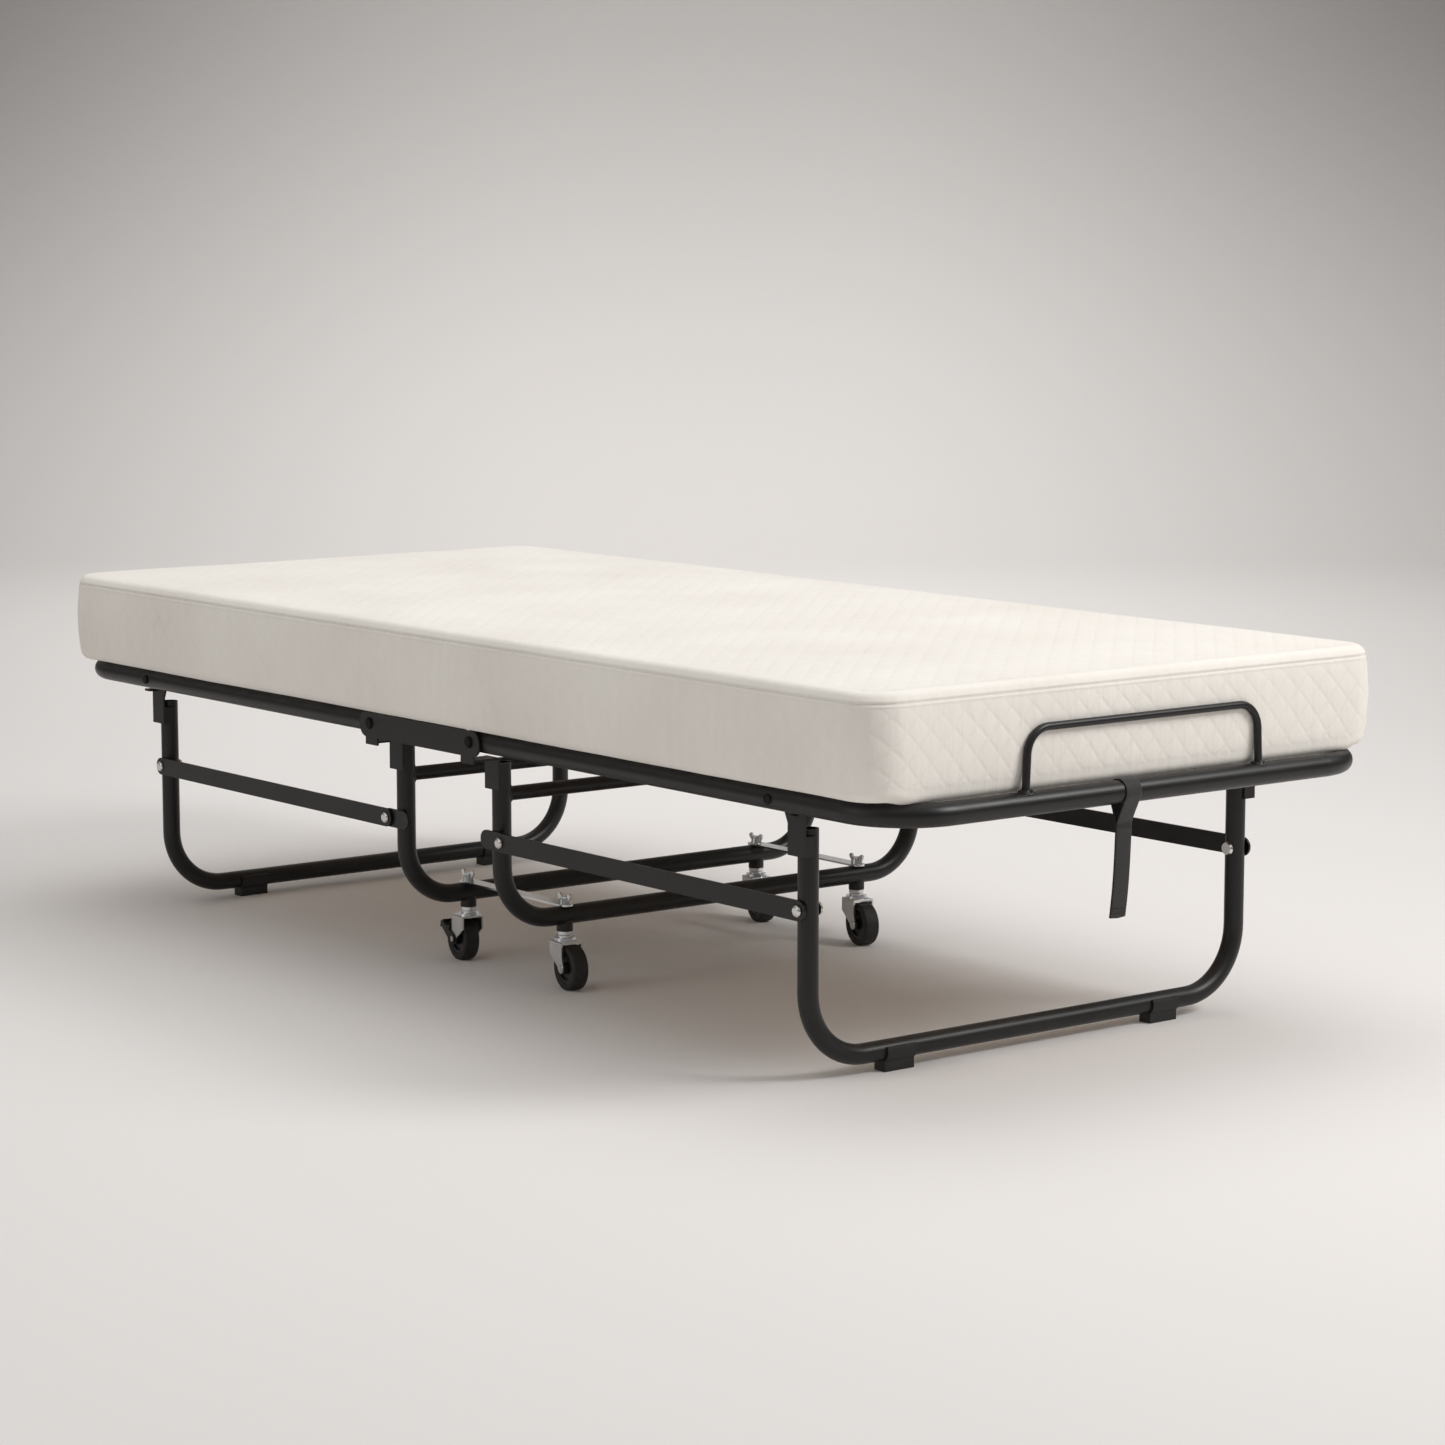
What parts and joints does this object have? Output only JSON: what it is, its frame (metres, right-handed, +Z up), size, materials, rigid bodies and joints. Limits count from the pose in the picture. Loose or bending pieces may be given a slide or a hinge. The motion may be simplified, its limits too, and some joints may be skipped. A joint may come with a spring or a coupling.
{
  "type": "folding cot",
  "caption": "Castored folding bed: mattress on two hinged slatted decks that fold up about a centre unit, with self-levelling U legs, flat struts, end hoops and a storage strap.",
  "frame": {"origin": "on the floor under the middle of the opened bed", "axes": "+Z up, +X towards the foot end that carries the storage strap, +Y towards the sleeper's left"},
  "size_m": [1.9207, 0.84, 0.487],
  "materials": {
    "frame_paint": "satin",
    "slat_wood": "satin",
    "black_plastic": "matte",
    "black_bolt": "satin",
    "bright_rivet": "satin",
    "zinc_plate": "satin",
    "castor_rubber": "matte",
    "castor_nylon": "satin",
    "mattress_cover": "matte",
    "strap_webbing": "matte"
  },
  "bodies": {
    "centre_unit": {"side_link_right": "frame_paint", "side_link_left": "frame_paint", "deck_pivot_bolts": "black_bolt", "frame_brackets": "frame_paint", "strut_ears": "frame_paint", "strut_rivets": "bright_rivet", "tie_strip_right": "zinc_plate", "tie_strip_left": "zinc_plate", "castor_saddles": "black_plastic", "castor_stems": "zinc_plate", "wing_nuts": "zinc_plate", "mattress_middle": "mattress_cover", "head_castor_frame": "frame_paint", "foot_castor_frame": "frame_paint", "head_frame_cross_tube": "frame_paint", "foot_frame_cross_tube": "frame_paint"},
    "foot_deck": {"foot_deck_rail": "frame_paint", "foot_slats": "slat_wood", "foot_slat_holders": "black_plastic", "foot_mattress_hoop": "frame_paint", "foot_leg_pivot_bolts": "black_bolt", "foot_mattress_end": "mattress_cover"},
    "foot_leg": {"foot_leg_tube": "frame_paint", "foot_leg_brackets": "frame_paint", "foot_leg_pads": "black_plastic", "foot_leg_rivets": "bright_rivet"},
    "foot_struts": {"foot_strut_right": "frame_paint", "foot_strut_left": "frame_paint"},
    "head_deck": {"head_deck_rail": "frame_paint", "head_slats": "slat_wood", "head_slat_holders": "black_plastic", "head_mattress_hoop": "frame_paint", "head_leg_pivot_bolts": "black_bolt", "head_mattress_end": "mattress_cover"},
    "head_leg": {"head_leg_tube": "frame_paint", "head_leg_brackets": "frame_paint", "head_leg_pads": "black_plastic", "head_leg_rivets": "bright_rivet"},
    "head_struts": {"head_strut_right": "frame_paint", "head_strut_left": "frame_paint"},
    "strap": {"storage_strap": "strap_webbing"},
    "castor_head_right": {"castor_fork_head_right": "zinc_plate", "castor_axle_head_right": "zinc_plate"},
    "wheel_head_right": {"castor_tyre_head_right": "castor_rubber", "castor_hub_head_right": "castor_nylon"},
    "castor_foot_right": {"castor_fork_foot_right": "zinc_plate", "castor_axle_foot_right": "zinc_plate"},
    "wheel_foot_right": {"castor_tyre_foot_right": "castor_rubber", "castor_hub_foot_right": "castor_nylon"},
    "castor_head_left": {"castor_fork_head_left": "zinc_plate", "castor_axle_head_left": "zinc_plate"},
    "wheel_head_left": {"castor_tyre_head_left": "castor_rubber", "castor_hub_head_left": "castor_nylon"},
    "castor_foot_left": {"castor_fork_foot_left": "zinc_plate", "castor_axle_foot_left": "zinc_plate"},
    "wheel_foot_left": {"castor_tyre_foot_left": "castor_rubber", "castor_hub_foot_left": "castor_nylon"},
    "brake": {"brake_pedal": "frame_paint"}
  },
  "joints": [
    {"name": "foot_deck_fold", "type": "hinge", "parent": "centre_unit", "child": "foot_deck", "pos_m": [0.1187, 0, 0.3439], "axis": [0, -1, 0], "range_deg": [0, 85]},
    {"name": "foot_leg_pivot", "type": "hinge", "parent": "foot_deck", "child": "foot_leg", "pos_m": [0.7328, 0, 0.3439], "axis": [0, -1, 0], "range_deg": [-85, 0]},
    {"name": "foot_strut_pivot", "type": "hinge", "parent": "centre_unit", "child": "foot_struts", "pos_m": [0.1357, 0, 0.2099], "axis": [0, -1, 0], "range_deg": [0, 85]},
    {"name": "head_deck_fold", "type": "hinge", "parent": "centre_unit", "child": "head_deck", "pos_m": [-0.1187, 0, 0.3439], "axis": [0, 1, 0], "range_deg": [0, 85]},
    {"name": "head_leg_pivot", "type": "hinge", "parent": "head_deck", "child": "head_leg", "pos_m": [-0.7328, 0, 0.3439], "axis": [0, 1, 0], "range_deg": [-85, 0]},
    {"name": "head_strut_pivot", "type": "hinge", "parent": "centre_unit", "child": "head_struts", "pos_m": [-0.1357, 0, 0.2099], "axis": [0, 1, 0], "range_deg": [0, 85]},
    {"name": "strap_hang", "type": "hinge", "parent": "foot_deck", "child": "strap", "pos_m": [0.945, -0.034, 0.3439], "axis": [0, -1, 0], "range_deg": [-85, 0]},
    {"name": "castor_swivel_head_right", "type": "hinge", "parent": "centre_unit", "child": "castor_head_right", "pos_m": [-0.1139, -0.2538, 0.07], "axis": [0, 0, 1], "continuous": true},
    {"name": "wheel_spin_head_right", "type": "hinge", "parent": "castor_head_right", "child": "wheel_head_right", "pos_m": [-0.13073, -0.25143, 0.03], "axis": [-0.1392, -0.9903, 0], "continuous": true},
    {"name": "castor_swivel_foot_right", "type": "hinge", "parent": "centre_unit", "child": "castor_foot_right", "pos_m": [0.1139, -0.2538, 0.07], "axis": [0, 0, 1], "continuous": true},
    {"name": "wheel_spin_foot_right", "type": "hinge", "parent": "castor_foot_right", "child": "wheel_foot_right", "pos_m": [0.13077, -0.25587, 0.03], "axis": [0.1219, 0.9925, 0], "continuous": true},
    {"name": "castor_swivel_head_left", "type": "hinge", "parent": "centre_unit", "child": "castor_head_left", "pos_m": [-0.1139, 0.2538, 0.07], "axis": [0, 0, 1], "continuous": true},
    {"name": "wheel_spin_head_left", "type": "hinge", "parent": "castor_head_left", "child": "wheel_head_left", "pos_m": [-0.09727, 0.25027, 0.03], "axis": [0.2079, 0.9781, 0], "continuous": true},
    {"name": "castor_swivel_foot_left", "type": "hinge", "parent": "centre_unit", "child": "castor_foot_left", "pos_m": [0.1139, 0.2538, 0.07], "axis": [0, 0, 1], "continuous": true},
    {"name": "wheel_spin_foot_left", "type": "hinge", "parent": "castor_foot_left", "child": "wheel_foot_left", "pos_m": [0.13064, 0.25085, 0.03], "axis": [0.1736, 0.9848, 0], "continuous": true},
    {"name": "brake_press", "type": "hinge", "parent": "castor_head_right", "child": "brake", "pos_m": [-0.13073, -0.25143, 0.03], "axis": [-0.1392, -0.9903, 0], "range_deg": [0, 12]}
  ],
  "couplings": [
    {"joint": "foot_leg_pivot", "follows": "foot_deck_fold", "ratio": -1},
    {"joint": "foot_strut_pivot", "follows": "foot_deck_fold", "ratio": 1},
    {"joint": "head_leg_pivot", "follows": "head_deck_fold", "ratio": -1},
    {"joint": "head_strut_pivot", "follows": "head_deck_fold", "ratio": 1},
    {"joint": "strap_hang", "follows": "foot_deck_fold", "ratio": -1}
  ]
}
